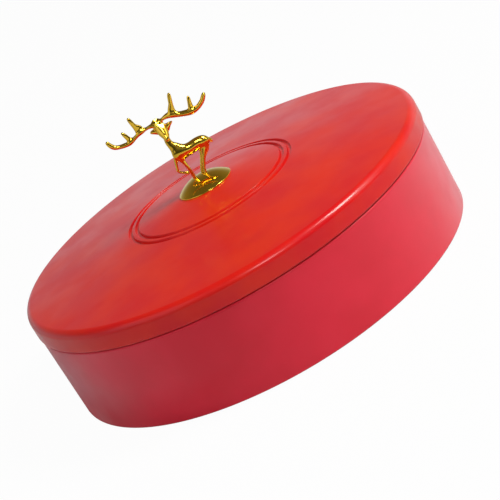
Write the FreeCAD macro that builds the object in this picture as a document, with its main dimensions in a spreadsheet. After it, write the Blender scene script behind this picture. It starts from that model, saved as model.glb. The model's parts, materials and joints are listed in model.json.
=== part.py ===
import FreeCAD, Part
import math
import os
import re

import Sketcher

# A round snack box: a moulded base with loose trays, a crowned lid that lifts off, and a cast deer on a
# small dome as the lid's handle. Millimetres. The origin is on the table under the middle of the box,
# +Z is up and the deer shows its left side to -Y.

SIZES = {
    # lid
    "lid_radius": 130.0,
    "lid_edge_rise": 13.45,
    "lid_slope_rise": 7.5,
    "lid_middle_rise": 4.3,
    "lid_wall": 2.4,
    "lid_edge_round": 2.6,
    "lid_lip_round": 0.5,
    "lid_boss_radius": 7.0,
    "lid_boss_length": 6.0,
    "outer_groove_radius": 53.2,
    "groove_spacing": 4.7,
    "groove_cutter_radius": 1.1,
    "groove_depth": 0.8,
    # base
    "lid_overhang": 0.8,
    "base_lean": 0.5,
    "base_wall_height": 53.65,
    "base_foot_width": 4.7,
    "base_floor_recess": 2.0,
    "base_floor_thickness": 2.4,
    "base_foot_round": 1.2,
    "base_inner_round": 3.0,
    "shoulder_width": 1.6,
    "spigot_wall": 1.8,
    "spigot_height": 8.0,
    "spigot_round": 0.8,
    "lid_clearance": 0.4,
    "seat_gap": 0.3,
    # locating ribs on the floor
    "rib_height": 2.5,
    "rib_thickness": 1.2,
    "rib_end_gap": 5.0,
    # trays
    "tray_count": 6,
    "tray_rim_drop": 4.95,
    "tray_gap": 0.8,
    "tray_wall": 1.6,
    "tray_draft": 2.0,
    "tray_corner_round": 6.0,
    "tray_floor_round": 4.6,
    "centre_tray_radius": 44.0,
    # feet
    "pad_count": 4,
    "pad_radius": 7.0,
    "pad_stand": 0.6,
    "pad_round": 0.4,
    "pad_inset": 6.0,
    # knob
    "dome_radius": 17.0,
    "dome_height": 6.9,
    "dome_wall": 1.8,
    "dome_boss_radius": 4.6,
    "dome_crown_wall": 1.2,
    "trunk_length": 25.0,
    "foot_pin_radius": 0.6,
    "foot_pin_length": 1.4,
    "pin_clearance": 0.05,
    # screw and washer
    "screw_radius": 2.0,
    "screw_end_gap": 0.5,
    "screw_clearance": 0.25,
    "thread_clearance": 0.05,
    "screw_head_radius": 4.0,
    "screw_head_height": 2.8,
    "screw_head_round": 1.6,
    "screw_slot_length": 4.4,
    "screw_slot_width": 1.0,
    "screw_slot_depth": 1.5,
    "washer_radius": 5.0,
    "washer_thickness": 0.8,
}

# Radii of the base, each one step in from the lid's, as formulas on the sheet.
BASE_RADIUS = "(lid_radius - lid_overhang)"
FOOT_RADIUS = f"({BASE_RADIUS} - base_lean)"
SPIGOT_RADIUS = f"({BASE_RADIUS} - shoulder_width)"
CAVITY_RADIUS = f"({SPIGOT_RADIUS} - spigot_wall)"
INNER_GROOVE = "(outer_groove_radius - groove_spacing)"

# Heights above the lid's lower edge.
LID_EDGE = "lid_edge_rise"
LID_RING = "lid_edge_rise + lid_slope_rise"
LID_TOP = "lid_edge_rise + lid_slope_rise + lid_middle_rise"

# Heights above the table.
FLOOR_TOP = "pad_stand + base_floor_recess + base_floor_thickness"
LID_FOOT = "pad_stand + base_wall_height + seat_gap"
KNOB_SEAT = f"{LID_FOOT} + {LID_TOP}"
WASHER_FOOT = f"{KNOB_SEAT} - lid_boss_length - washer_thickness"

# Lengths that follow from the pieces round them.
SPIGOT_TOP = "base_wall_height + spigot_height"
TRAY_HEIGHT = f"({SPIGOT_TOP} - tray_rim_drop - base_floor_recess - base_floor_thickness - seat_gap)"
THREAD_DEPTH = "(dome_height - dome_crown_wall)"
SCREW_LENGTH = f"(washer_thickness + lid_boss_length + {THREAD_DEPTH} - screw_end_gap)"

# The dome is the cap of a ball.
BALL_RADIUS = "(dome_radius ^ 2 + dome_height ^ 2) / (2 * dome_height)"

# The deer in shares of its trunk's length, from a point this far below the dome's crown. Each station
# is x, y, z and the half sizes of its oval section across and through the limb.
CROWN_SHARE = 0.276
TRUNK_SHARES = [
    (-0.216, 0.0, 0.968, 0.120, 0.088),
    (-0.160, 0.0, 0.970, 0.150, 0.108),
    (-0.060, 0.0, 0.960, 0.156, 0.118),
    (0.120, 0.0, 0.942, 0.146, 0.116),
    (0.320, 0.0, 0.956, 0.144, 0.116),
    (0.452, 0.0, 0.940, 0.140, 0.112),
    (0.532, 0.0, 0.912, 0.100, 0.084),
    (0.584, 0.0, 0.888, 0.044, 0.036),
]
NECK_SHARES = [
    (-0.128, 0.0, 0.850, 0.096, 0.068),
    (-0.130, 0.0, 0.930, 0.176, 0.112),
    (-0.150, 0.0, 1.070, 0.156, 0.106),
    (-0.212, 0.012, 1.210, 0.100, 0.088),
    (-0.240, 0.024, 1.320, 0.080, 0.076),
    (-0.234, 0.030, 1.460, 0.070, 0.070),
    (-0.236, 0.012, 1.640, 0.070, 0.062),
]
HEAD_SHARES = [
    (-0.244, 0.064, 1.908, 0.112, 0.048),
    (-0.244, 0.058, 1.880, 0.124, 0.072),
    (-0.242, 0.048, 1.784, 0.126, 0.096),
    (-0.230, 0.004, 1.652, 0.132, 0.108),
    (-0.223, -0.056, 1.566, 0.112, 0.098),
    (-0.226, -0.120, 1.500, 0.080, 0.078),
    (-0.228, -0.164, 1.452, 0.062, 0.058),
    (-0.230, -0.190, 1.412, 0.040, 0.036),
]
LEFT_EAR_SHARES = [
    (-0.300, 0.052, 1.656, 0.076, 0.036),
    (-0.372, 0.060, 1.684, 0.064, 0.030),
    (-0.428, 0.060, 1.700, 0.044, 0.024),
    (-0.472, 0.060, 1.708, 0.026, 0.018),
    (-0.500, 0.060, 1.710, 0.010, 0.010),
]
RIGHT_EAR_SHARES = [
    (-0.144, 0.052, 1.656, 0.076, 0.036),
    (-0.080, 0.060, 1.660, 0.062, 0.030),
    (-0.036, 0.060, 1.672, 0.042, 0.024),
    (0.024, 0.060, 1.684, 0.026, 0.018),
    (0.084, 0.060, 1.706, 0.010, 0.010),
]
LEFT_BEAM_SHARES = [
    (-0.300, 0.060, 1.848, 0.056, 0.056),
    (-0.400, 0.064, 1.864, 0.042, 0.042),
    (-0.520, 0.084, 1.866, 0.032, 0.032),
    (-0.660, 0.104, 1.856, 0.044, 0.044),
    (-0.800, 0.120, 1.820, 0.038, 0.038),
    (-1.012, 0.160, 1.752, 0.044, 0.044),
    (-1.140, 0.176, 1.758, 0.046, 0.046),
    (-1.280, 0.192, 1.786, 0.042, 0.042),
    (-1.380, 0.204, 1.832, 0.046, 0.046),
    (-1.442, 0.208, 1.914, 0.046, 0.046),
    (-1.474, 0.208, 1.990, 0.040, 0.040),
    (-1.480, 0.208, 2.022, 0.022, 0.022),
]
LEFT_INNER_TINE_SHARES = [
    (-0.676, 0.112, 1.864, 0.076, 0.040),
    (-0.684, 0.112, 1.936, 0.094, 0.036),
    (-0.732, 0.112, 2.052, 0.054, 0.040),
    (-0.752, 0.112, 2.144, 0.046, 0.042),
    (-0.768, 0.112, 2.232, 0.040, 0.038),
    (-0.776, 0.112, 2.284, 0.020, 0.020),
]
LEFT_OUTER_TINE_SHARES = [
    (-0.976, 0.156, 1.772, 0.056, 0.040),
    (-1.032, 0.156, 1.952, 0.044, 0.040),
    (-1.060, 0.156, 2.016, 0.034, 0.032),
    (-1.072, 0.156, 2.044, 0.016, 0.016),
]
RIGHT_BEAM_SHARES = [
    (-0.192, 0.052, 1.858, 0.044, 0.044),
    (-0.096, 0.040, 1.878, 0.036, 0.036),
    (0.0, 0.024, 1.892, 0.050, 0.050),
    (0.092, 0.004, 1.888, 0.064, 0.064),
    (0.200, -0.028, 1.852, 0.068, 0.068),
    (0.320, -0.056, 1.794, 0.060, 0.060),
    (0.520, -0.104, 1.736, 0.068, 0.068),
    (0.620, -0.128, 1.720, 0.060, 0.060),
    (0.720, -0.148, 1.736, 0.056, 0.056),
    (0.820, -0.168, 1.776, 0.054, 0.054),
    (0.920, -0.184, 1.840, 0.052, 0.052),
    (1.000, -0.196, 1.918, 0.048, 0.048),
    (1.044, -0.200, 1.968, 0.022, 0.022),
]
RIGHT_INNER_TINE_SHARES = [
    (0.176, -0.024, 1.878, 0.084, 0.052),
    (0.196, -0.024, 1.970, 0.080, 0.050),
    (0.252, -0.024, 2.098, 0.052, 0.046),
    (0.284, -0.024, 2.190, 0.047, 0.044),
    (0.316, -0.024, 2.278, 0.043, 0.040),
    (0.336, -0.024, 2.342, 0.020, 0.020),
]
RIGHT_OUTER_TINE_SHARES = [
    (0.600, -0.120, 1.764, 0.062, 0.044),
    (0.644, -0.120, 1.928, 0.045, 0.040),
    (0.668, -0.120, 2.008, 0.039, 0.036),
    (0.680, -0.120, 2.072, 0.020, 0.020),
]
STANDING_FORELEG_SHARES = [
    (-0.208, -0.048, 0.930, 0.080, 0.048),
    (-0.192, -0.056, 0.832, 0.064, 0.044),
    (-0.174, -0.060, 0.750, 0.050, 0.040),
    (-0.156, -0.064, 0.650, 0.041, 0.036),
    (-0.144, -0.064, 0.542, 0.042, 0.036),
    (-0.136, -0.064, 0.370, 0.044, 0.036),
    (-0.132, -0.064, 0.232, 0.044, 0.038),
]
RAISED_FORELEG_SHARES = [
    (-0.236, 0.040, 0.964, 0.056, 0.044),
    (-0.288, 0.052, 0.884, 0.056, 0.042),
    (-0.346, 0.056, 0.755, 0.038, 0.034),
    (-0.386, 0.056, 0.620, 0.034, 0.030),
    (-0.376, 0.056, 0.558, 0.034, 0.030),
    (-0.328, 0.056, 0.512, 0.029, 0.028),
    (-0.216, 0.054, 0.440, 0.034, 0.032),
    (-0.184, 0.052, 0.416, 0.024, 0.022),
]
NEAR_HIND_LEG_SHARES = [
    (0.464, -0.048, 0.930, 0.116, 0.056),
    (0.440, -0.060, 0.818, 0.104, 0.054),
    (0.388, -0.064, 0.730, 0.084, 0.050),
    (0.328, -0.066, 0.650, 0.054, 0.042),
    (0.274, -0.066, 0.570, 0.042, 0.036),
    (0.168, -0.062, 0.358, 0.034, 0.032),
    (0.140, -0.060, 0.228, 0.041, 0.036),
]
FAR_HIND_LEG_SHARES = [
    (0.380, 0.048, 0.876, 0.100, 0.052),
    (0.328, 0.052, 0.756, 0.068, 0.044),
    (0.288, 0.052, 0.668, 0.046, 0.038),
    (0.224, 0.050, 0.556, 0.041, 0.034),
    (0.104, 0.046, 0.336, 0.036, 0.030),
    (0.076, 0.044, 0.224, 0.038, 0.034),
]
TAIL_SHARES = [
    (0.572, 0.0, 0.920, 0.046, 0.036),
    (0.624, 0.0, 0.872, 0.042, 0.034),
    (0.640, 0.0, 0.828, 0.032, 0.026),
    (0.640, 0.0, 0.804, 0.014, 0.012),
]
LIMB_SHARES = [
    TRUNK_SHARES,
    NECK_SHARES,
    HEAD_SHARES,
    LEFT_EAR_SHARES,
    RIGHT_EAR_SHARES,
    LEFT_BEAM_SHARES,
    LEFT_INNER_TINE_SHARES,
    LEFT_OUTER_TINE_SHARES,
    RIGHT_BEAM_SHARES,
    RIGHT_INNER_TINE_SHARES,
    RIGHT_OUTER_TINE_SHARES,
    STANDING_FORELEG_SHARES,
    RAISED_FORELEG_SHARES,
    NEAR_HIND_LEG_SHARES,
    FAR_HIND_LEG_SHARES,
    TAIL_SHARES,
]

# The hooves that stand on the dome: x and y in shares of the trunk's length.
HOOF_SHARES = [(-0.132, -0.064), (0.140, -0.060), (0.076, 0.044)]

FULL_TURN = 360.0
RING_POINTS = 8
UP = FreeCAD.Vector(0, 0, 1)
DEEP = FreeCAD.Vector(0, 1, 0)

doc = FreeCAD.newDocument("SnackBox")


def make_sheet():
    """Every driving size in a cell of its own, with its name as the alias."""
    sheet = doc.addObject("Spreadsheet::Sheet", "Sizes")
    for row, (name, value) in enumerate(SIZES.items(), start=1):
        sheet.set(f"A{row}", name)
        sheet.set(f"B{row}", str(value))
        sheet.setAlias(f"B{row}", name)
    doc.recompute()
    return sheet


def size(text):
    """The value of a size, or of a formula of sizes, read from the sheet."""
    return float(sheet.evalExpression(text))


def formula(text):
    """The text with each size pointed at its cell: sizes are the words with an underscore."""
    return re.sub(r"\b([a-z]+(?:_[a-z]+)+)\b", r"Sizes.\1", text)


def bind(target, **formulas):
    """Tie properties of an object to formulas on the sheet."""
    for name, text in formulas.items():
        target.setExpression(name, formula(text))


def new_body(label, height="0"):
    """A body whose own zero stands at a height above the table."""
    body = doc.addObject("PartDesign::Body", label)
    body.Label = label
    body.setExpression("Placement.Base.z", formula(height))
    return body


def new_sketch(body, name, plane, height=None):
    """A sketch on one of the body's own planes, lifted by a formula where one is given."""
    sketch = body.newObject("Sketcher::SketchObject", name)
    planes = [item for item in body.Origin.OriginFeatures if item.Role == plane]
    sketch.AttachmentSupport = (planes[0], [""])
    sketch.MapMode = "FlatFace"
    if height is not None:
        sketch.setExpression("AttachmentOffset.Base.z", formula(height))
    return sketch


def dimension(sketch, constraint, text):
    """Add a dimension and tie it to a formula."""
    index = sketch.addConstraint(constraint)
    name = f"size{index}"
    sketch.renameConstraint(index, name)
    sketch.setExpression(f"Constraints.{name}", formula(text))


def place_point(sketch, edge, end, across, up):
    """Hold one end of an edge at a place given by two formulas."""
    point = sketch.getPoint(edge, end)
    dimension(sketch, Sketcher.Constraint("DistanceX", -1, 1, edge, end, point.x), across)
    dimension(sketch, Sketcher.Constraint("DistanceY", -1, 1, edge, end, point.y), up)


def draw_outline(sketch, corners):
    """A closed outline of straight edges through corners given as (across, up) formulas.

    The corners start on a ring of the lid's size, and their dimensions carry them to their places.
    """
    count = len(corners)
    start = size("lid_radius")
    ring = []
    for index in range(count):
        turn = 2 * math.pi * index / count
        ring.append(FreeCAD.Vector(start * math.cos(turn), start * math.sin(turn), 0))
    for index in range(count):
        sketch.addGeometry(Part.LineSegment(ring[index], ring[(index + 1) % count]), False)
    for index in range(count):
        following = (index + 1) % count
        sketch.addConstraint(Sketcher.Constraint("Coincident", index, 2, following, 1))
    for index, (across, up) in enumerate(corners):
        place_point(sketch, index, 1, across, up)


def draw_circle(sketch, across, up, radius):
    """A circle with its centre and radius given as formulas."""
    start = size("screw_radius")
    circle = Part.Circle(FreeCAD.Vector(0, 0, 0), UP, start)
    index = sketch.addGeometry(circle, False)
    place_point(sketch, index, 3, across, up)
    dimension(sketch, Sketcher.Constraint("Radius", index, start), radius)


def feature(body, kind, name, sketch, **formulas):
    """A sketch-based feature of the body, its sizes tied to formulas."""
    made = body.newObject(f"PartDesign::{kind}", name)
    made.Profile = sketch
    bind(made, **formulas)
    return made


def turned(body, kind, name, sketch):
    """A Revolution or Groove once round the body's upright axis."""
    made = feature(body, kind, name, sketch)
    made.ReferenceAxis = (sketch, ["V_Axis"])
    made.Angle = FULL_TURN
    doc.recompute()
    return made


def cut_checked(body, before, made):
    """Stop where a cut took nothing away."""
    doc.recompute()
    if not body.Shape.Volume < before:
        raise RuntimeError(f"{body.Label}: {made.Name} cuts nothing")


def edges_where(shape, wanted):
    """The names of the edges that pass a test."""
    found = []
    for number, edge in enumerate(shape.Edges, start=1):
        if wanted(edge):
            found.append(f"Edge{number}")
    return found


def same(first, second):
    """Whether two lengths agree within the part's smallest clearance."""
    return abs(first - second) < size("pin_clearance")


def circles_at(shape, radius, height):
    """The names of the level circles of a radius at a height of the body's own frame."""
    def wanted(edge):
        if not isinstance(edge.Curve, Part.Circle):
            return False
        return same(edge.Curve.Radius, radius) and same(edge.Curve.Center.z, height)

    return edges_where(shape, wanted)


def rounded(body, name, edges, radius):
    """A Fillet on named edges, its radius tied to a formula."""
    base = body.Tip
    fillet = body.newObject("PartDesign::Fillet", name)
    fillet.Base = (base, edges)
    bind(fillet, Radius=radius)
    body.Tip = fillet
    doc.recompute()


def own_shape(body):
    """The body's shape in the body's own frame."""
    return body.Tip.Shape


def around(body, name, source, count):
    """A polar pattern of one feature round the body's upright axis."""
    pattern = body.newObject("PartDesign::PolarPattern", name)
    pattern.Originals = [source]
    pattern.Axis = (source.Profile[0], ["N_Axis"])
    pattern.Angle = FULL_TURN
    bind(pattern, Occurrences=count)
    body.Tip = pattern
    doc.recompute()


def make_base():
    """The base: outer wall, shoulder and spigot, floor on a foot ring, and the trays' ribs."""
    body = new_body("base_shell", "pad_stand")
    floor_under = "base_floor_recess"
    floor_top = "base_floor_recess + base_floor_thickness"
    foot_inside = f"{FOOT_RADIUS} - base_foot_width"
    wall = new_sketch(body, "BaseWall", "XZ_Plane")
    draw_outline(wall, [
        ("0", floor_under),
        (foot_inside, floor_under),
        (foot_inside, "0"),
        (FOOT_RADIUS, "0"),
        (BASE_RADIUS, "base_wall_height"),
        (SPIGOT_RADIUS, "base_wall_height"),
        (SPIGOT_RADIUS, SPIGOT_TOP),
        (CAVITY_RADIUS, SPIGOT_TOP),
        (CAVITY_RADIUS, floor_top),
        ("0", floor_top),
    ])
    turned(body, "Revolution", "BaseShell", wall)
    foot = circles_at(own_shape(body), size(FOOT_RADIUS), 0)
    rounded(body, "FootRound", foot, "base_foot_round")
    inner = circles_at(own_shape(body), size(CAVITY_RADIUS), size(floor_top))
    rounded(body, "InnerRound", inner, "base_inner_round")
    lip = circles_at(own_shape(body), size(SPIGOT_RADIUS), size(SPIGOT_TOP))
    rounded(body, "SpigotRound", lip, "spigot_round")
    add_ring_rib(body, floor_top)
    add_radial_ribs(body, floor_top)
    return body


def add_ring_rib(body, floor_top):
    """A low ring that keeps the centre tray in its place."""
    middle = "centre_tray_radius + tray_gap / 2"
    inside = f"{middle} - rib_thickness / 2"
    outside = f"{middle} + rib_thickness / 2"
    root = f"{floor_top} - rib_thickness"
    crest = f"{floor_top} + rib_height"
    sketch = new_sketch(body, "RingRibOutline", "XZ_Plane")
    draw_outline(sketch, [(inside, root), (outside, root), (outside, crest), (inside, crest)])
    turned(body, "Revolution", "RingRib", sketch)


def add_radial_ribs(body, floor_top):
    """Low ribs between the outer trays, patterned round the floor."""
    inside = "centre_tray_radius + rib_end_gap"
    outside = f"{CAVITY_RADIUS} - rib_end_gap"
    sketch = new_sketch(body, "RadialRibOutline", "XY_Plane", f"{floor_top} - rib_thickness")
    draw_outline(sketch, [
        (inside, "-rib_thickness / 2"),
        (outside, "-rib_thickness / 2"),
        (outside, "rib_thickness / 2"),
        (inside, "rib_thickness / 2"),
    ])
    rib = feature(body, "Pad", "RadialRib", sketch, Length="rib_height + rib_thickness")
    doc.recompute()
    around(body, "RadialRibs", rib, "tray_count")


def make_lid():
    """The lid: skirt over the spigot, crowned top with two fine grooves, and a boss for the screw."""
    body = new_body("lid_shell", LID_FOOT)
    skirt_inside = f"{SPIGOT_RADIUS} + lid_clearance"
    hole = "screw_radius + screw_clearance"
    boss_foot = f"{LID_TOP} - lid_boss_length"
    section = new_sketch(body, "LidSection", "XZ_Plane")
    draw_outline(section, [
        (skirt_inside, "0"),
        ("lid_radius", "0"),
        ("lid_radius", LID_EDGE),
        ("outer_groove_radius", LID_RING),
        ("dome_radius", LID_TOP),
        (hole, LID_TOP),
        (hole, boss_foot),
        ("lid_boss_radius", boss_foot),
        ("lid_boss_radius", f"{LID_TOP} - lid_wall"),
        ("dome_radius", f"{LID_TOP} - lid_wall"),
        ("outer_groove_radius", f"{LID_RING} - lid_wall"),
        (skirt_inside, f"{LID_EDGE} - lid_wall"),
    ])
    turned(body, "Revolution", "LidShell", section)
    shape = own_shape(body)
    edge = circles_at(shape, size("lid_radius"), size("lid_edge_rise"))
    rounded(body, "EdgeRound", edge, "lid_edge_round")
    shape = own_shape(body)
    lip = circles_at(shape, size("lid_radius"), 0)
    rounded(body, "LipRound", lip, "lid_lip_round")
    fall = "lid_middle_rise / (outer_groove_radius - dome_radius)"
    cut_groove(body, "OuterGroove", "outer_groove_radius", LID_RING)
    cut_groove(body, "InnerGroove", INNER_GROOVE, f"{LID_RING} + groove_spacing * {fall}")
    return body


def cut_groove(body, name, radius, surface):
    """A fine round-bottomed groove turned into the lid's top."""
    sketch = new_sketch(body, f"{name}Outline", "XZ_Plane")
    draw_circle(sketch, radius, f"{surface} + groove_cutter_radius - groove_depth", "groove_cutter_radius")
    before = body.Shape.Volume
    made = turned(body, "Groove", name, sketch)
    cut_checked(body, before, made)


def draw_round(sketch, inset):
    """The rim of the middle tray, drawn in by the inset."""
    draw_circle(sketch, "0", "0", f"centre_tray_radius - {inset}")


def draw_sector(sketch, inset):
    """The rim of an outer tray, drawn in by the inset: two arcs about the box's axis and two sides."""
    drawn_in = size(inset) if inset in SIZES else 0
    inside = size("centre_tray_radius") + size("tray_gap") + drawn_in
    outside = size(CAVITY_RADIUS) - size("tray_gap") - drawn_in
    half_gap = size("tray_gap") / 2 + drawn_in
    half_turn = math.pi / size("tray_count")
    upper = []
    lower = []
    for radius in (inside, outside):
        reach = half_turn - math.asin(half_gap / radius)
        circle = Part.Circle(FreeCAD.Vector(0, 0, 0), UP, radius)
        sketch.addGeometry(Part.ArcOfCircle(circle, -reach, reach), False)
        upper.append(FreeCAD.Vector(radius * math.cos(reach), radius * math.sin(reach), 0))
        lower.append(FreeCAD.Vector(radius * math.cos(reach), -radius * math.sin(reach), 0))
    sketch.addGeometry(Part.LineSegment(upper[0], upper[1]), False)
    sketch.addGeometry(Part.LineSegment(lower[1], lower[0]), False)
    for pair in ((0, 3, -1, 1), (1, 3, -1, 1), (2, 1, 0, 2), (2, 2, 1, 2), (3, 1, 1, 1), (3, 2, 0, 1)):
        sketch.addConstraint(Sketcher.Constraint("Coincident", *pair))
    sketch.addConstraint(Sketcher.Constraint("Vertical", 0, 1, 0, 2))
    sketch.addConstraint(Sketcher.Constraint("Vertical", 1, 1, 1, 2))
    dimension(sketch, Sketcher.Constraint("Radius", 0, inside), f"centre_tray_radius + tray_gap + {inset}")
    dimension(sketch, Sketcher.Constraint("Radius", 1, outside), f"{CAVITY_RADIUS} - tray_gap - {inset}")
    dimension(sketch, Sketcher.Constraint("Angle", -1, 2, half_turn), "180 deg / tray_count")
    dimension(sketch, Sketcher.Constraint("Distance", -1, 1, 2, half_gap), f"tray_gap / 2 + {inset}")


def spans(item, low, high):
    """Whether an edge or face reaches from one height to the other."""
    return same(item.BoundBox.ZMin, low) and same(item.BoundBox.ZMax, high)


def faces_between(shape, low, high):
    """The names of the faces that reach from one height to the other."""
    return [f"Face{number}" for number, face in enumerate(shape.Faces, start=1) if spans(face, low, high)]


def drafted(body, name, low, narrows):
    """Lean the sides that rise from a height to the rim, which keeps its outline."""
    height = size(TRAY_HEIGHT)
    base = body.Tip
    draft = body.newObject("PartDesign::Draft", name)
    draft.Base = (base, faces_between(base.Shape, low, height))
    draft.NeutralPlane = (base, faces_between(base.Shape, height, height))
    draft.Reversed = narrows
    bind(draft, Angle="tray_draft")
    doc.recompute()


def round_between(body, name, low, high, radius):
    """Round every sharp edge of the body that reaches from one height to the other."""
    shape = own_shape(body)

    def wanted(edge):
        seam = any(edge.isSeam(face) for face in shape.ancestorsOfType(edge, Part.Face))
        return spans(edge, low, high) and not seam

    edges = edges_where(shape, wanted)
    if edges:
        rounded(body, name, edges, radius)


def make_tray(label, draw_rim, turn):
    """A thin-walled tray: padded down from its rim, hollowed, drafted inside and out, and rounded."""
    body = new_body(label, f"{FLOOR_TOP} + seat_gap")
    rim = new_sketch(body, f"{label}_rim", "XY_Plane", TRAY_HEIGHT)
    draw_rim(rim, "0")
    block = feature(body, "Pad", f"{label}_block", rim, Length=TRAY_HEIGHT)
    block.Reversed = True
    doc.recompute()
    before = body.Shape.Volume
    mouth = new_sketch(body, f"{label}_mouth", "XY_Plane", TRAY_HEIGHT)
    draw_rim(mouth, "tray_wall")
    hollow = feature(body, "Pocket", f"{label}_hollow", mouth, Length=f"{TRAY_HEIGHT} - tray_wall")
    cut_checked(body, before, hollow)
    height = size(TRAY_HEIGHT)
    floor = size("tray_wall")
    drafted(body, f"{label}_inner_draft", floor, False)
    drafted(body, f"{label}_outer_draft", 0, True)
    round_between(body, f"{label}_outer_corners", 0, height, "tray_corner_round")
    round_between(body, f"{label}_inner_corners", floor, height, "tray_corner_round - tray_wall")
    round_between(body, f"{label}_outer_foot", 0, 0, "tray_floor_round")
    round_between(body, f"{label}_inner_foot", floor, floor, "tray_floor_round - tray_wall")
    body.Placement.Rotation = FreeCAD.Rotation(UP, turn)
    doc.recompute()
    return body


def make_trays():
    """The round tray in the middle and the ring of outer trays."""
    trays = [make_tray("centre_tray", draw_round, 0)]
    count = int(size("tray_count"))
    for number in range(count):
        turn = FULL_TURN * (number + 0.5) / count
        trays.append(make_tray(f"sector_tray_{number + 1}", draw_sector, turn))
    return trays


def make_pads():
    """Rubber pads under the floor, standing a little proud of the foot ring."""
    pads = []
    count = int(size("pad_count"))
    reach = size(f"{FOOT_RADIUS} - base_foot_width - pad_inset - pad_radius")
    for number in range(count):
        body = new_body(f"foot_pad_{number + 1}")
        disc = new_sketch(body, f"Pad{number + 1}Outline", "XY_Plane")
        draw_circle(disc, "0", "0", "pad_radius")
        feature(body, "Pad", f"Pad{number + 1}", disc, Length="pad_stand + base_floor_recess")
        doc.recompute()
        lower = circles_at(own_shape(body), size("pad_radius"), 0)
        rounded(body, f"Pad{number + 1}Round", lower, "pad_round")
        turn = 2 * math.pi * (number + 0.5) / count
        body.Placement.Base.x = reach * math.cos(turn)
        body.Placement.Base.y = reach * math.sin(turn)
        pads.append(body)
    return pads


def draw_cap(sketch):
    """Half the section of a ball's cap: the foot line, the curved top and the axis."""
    ball = size(BALL_RADIUS)
    drop = ball - size("dome_height")
    low = math.asin(drop / ball)
    circle = Part.Circle(FreeCAD.Vector(0, -drop, 0), UP, ball)
    sketch.addGeometry(Part.ArcOfCircle(circle, low, math.pi / 2), False)
    rim = FreeCAD.Vector(size("dome_radius"), 0, 0)
    crown = FreeCAD.Vector(0, size("dome_height"), 0)
    middle = FreeCAD.Vector(0, 0, 0)
    sketch.addGeometry(Part.LineSegment(crown, middle), False)
    sketch.addGeometry(Part.LineSegment(middle, rim), False)
    for pair in ((0, 2, 1, 1), (1, 2, 2, 1), (2, 2, 0, 1), (1, 2, -1, 1)):
        sketch.addConstraint(Sketcher.Constraint("Coincident", *pair))
    sketch.addConstraint(Sketcher.Constraint("Vertical", 1))
    sketch.addConstraint(Sketcher.Constraint("Horizontal", 2))
    sketch.addConstraint(Sketcher.Constraint("PointOnObject", 0, 3, -2))
    dimension(sketch, Sketcher.Constraint("DistanceX", -1, 1, 2, 2, rim.x), "dome_radius")
    dimension(sketch, Sketcher.Constraint("DistanceY", -1, 1, 1, 1, crown.y), "dome_height")


def draw_hollow(sketch):
    """Half the section of the dome's hollow, between its wall and the screw's boss."""
    ball = size(BALL_RADIUS)
    drop = ball - size("dome_height")
    inner = ball - size("dome_wall")
    boss = size("dome_boss_radius")
    low = math.asin(drop / inner)
    high = math.acos(boss / inner)
    circle = Part.Circle(FreeCAD.Vector(0, -drop, 0), UP, inner)
    sketch.addGeometry(Part.ArcOfCircle(circle, low, high), False)
    outer_foot = FreeCAD.Vector(inner * math.cos(low), 0, 0)
    boss_foot = FreeCAD.Vector(boss, 0, 0)
    boss_head = FreeCAD.Vector(boss, inner * math.sin(high) - drop, 0)
    sketch.addGeometry(Part.LineSegment(boss_head, boss_foot), False)
    sketch.addGeometry(Part.LineSegment(boss_foot, outer_foot), False)
    for pair in ((0, 2, 1, 1), (1, 2, 2, 1), (2, 2, 0, 1)):
        sketch.addConstraint(Sketcher.Constraint("Coincident", *pair))
    sketch.addConstraint(Sketcher.Constraint("Vertical", 1))
    sketch.addConstraint(Sketcher.Constraint("PointOnObject", 1, 2, -1))
    sketch.addConstraint(Sketcher.Constraint("PointOnObject", 2, 2, -1))
    sketch.addConstraint(Sketcher.Constraint("PointOnObject", 0, 3, -2))
    dimension(sketch, Sketcher.Constraint("DistanceX", -1, 1, 1, 2, boss), "dome_boss_radius")
    dimension(sketch, Sketcher.Constraint("Radius", 0, inner), f"{BALL_RADIUS} - dome_wall")
    dimension(sketch, Sketcher.Constraint("DistanceY", 0, 3, -1, 1, drop), f"{BALL_RADIUS} - dome_height")


def make_knob_base():
    """The dome under the deer: a cast cap, hollow below, tapped for the screw and drilled for the feet."""
    body = new_body("knob_base", KNOB_SEAT)
    cap = new_sketch(body, "DomeCap", "XZ_Plane")
    draw_cap(cap)
    turned(body, "Revolution", "Dome", cap)
    before = body.Shape.Volume
    hollow = new_sketch(body, "DomeHollowOutline", "XZ_Plane")
    draw_hollow(hollow)
    cut_checked(body, before, turned(body, "Groove", "DomeHollow", hollow))
    before = body.Shape.Volume
    bore = new_sketch(body, "ThreadBoreOutline", "XY_Plane")
    draw_circle(bore, "0", "0", "screw_radius + thread_clearance")
    thread = feature(body, "Pocket", "ThreadBore", bore, Length=THREAD_DEPTH)
    thread.Reversed = True
    cut_checked(body, before, thread)
    for number, (x_share, y_share) in enumerate(HOOF_SHARES, start=1):
        before = body.Shape.Volume
        hole = new_sketch(body, f"HoofHole{number}Outline", "XY_Plane")
        across = f"trunk_length * {x_share}"
        up = f"trunk_length * {y_share}"
        draw_circle(hole, across, up, "foot_pin_radius + pin_clearance")
        socket = feature(body, "Pocket", f"HoofHole{number}", hole)
        socket.Type = "ThroughAll"
        socket.Reversed = True
        cut_checked(body, before, socket)
    return body


def oval(centre, along, across, deep):
    """A closed curve through points of an oval that stands square to the limb's direction."""
    through = DEEP - along * DEEP.dot(along)
    through.normalize()
    sideways = through.cross(along)
    points = []
    for index in range(RING_POINTS):
        turn = 2 * math.pi * index / RING_POINTS
        points.append(centre + sideways * (across * math.cos(turn)) + through * (deep * math.sin(turn)))
    curve = Part.BSplineCurve()
    curve.interpolate(points, PeriodicFlag=True)
    return Part.Wire([curve.toShape()])


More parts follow.
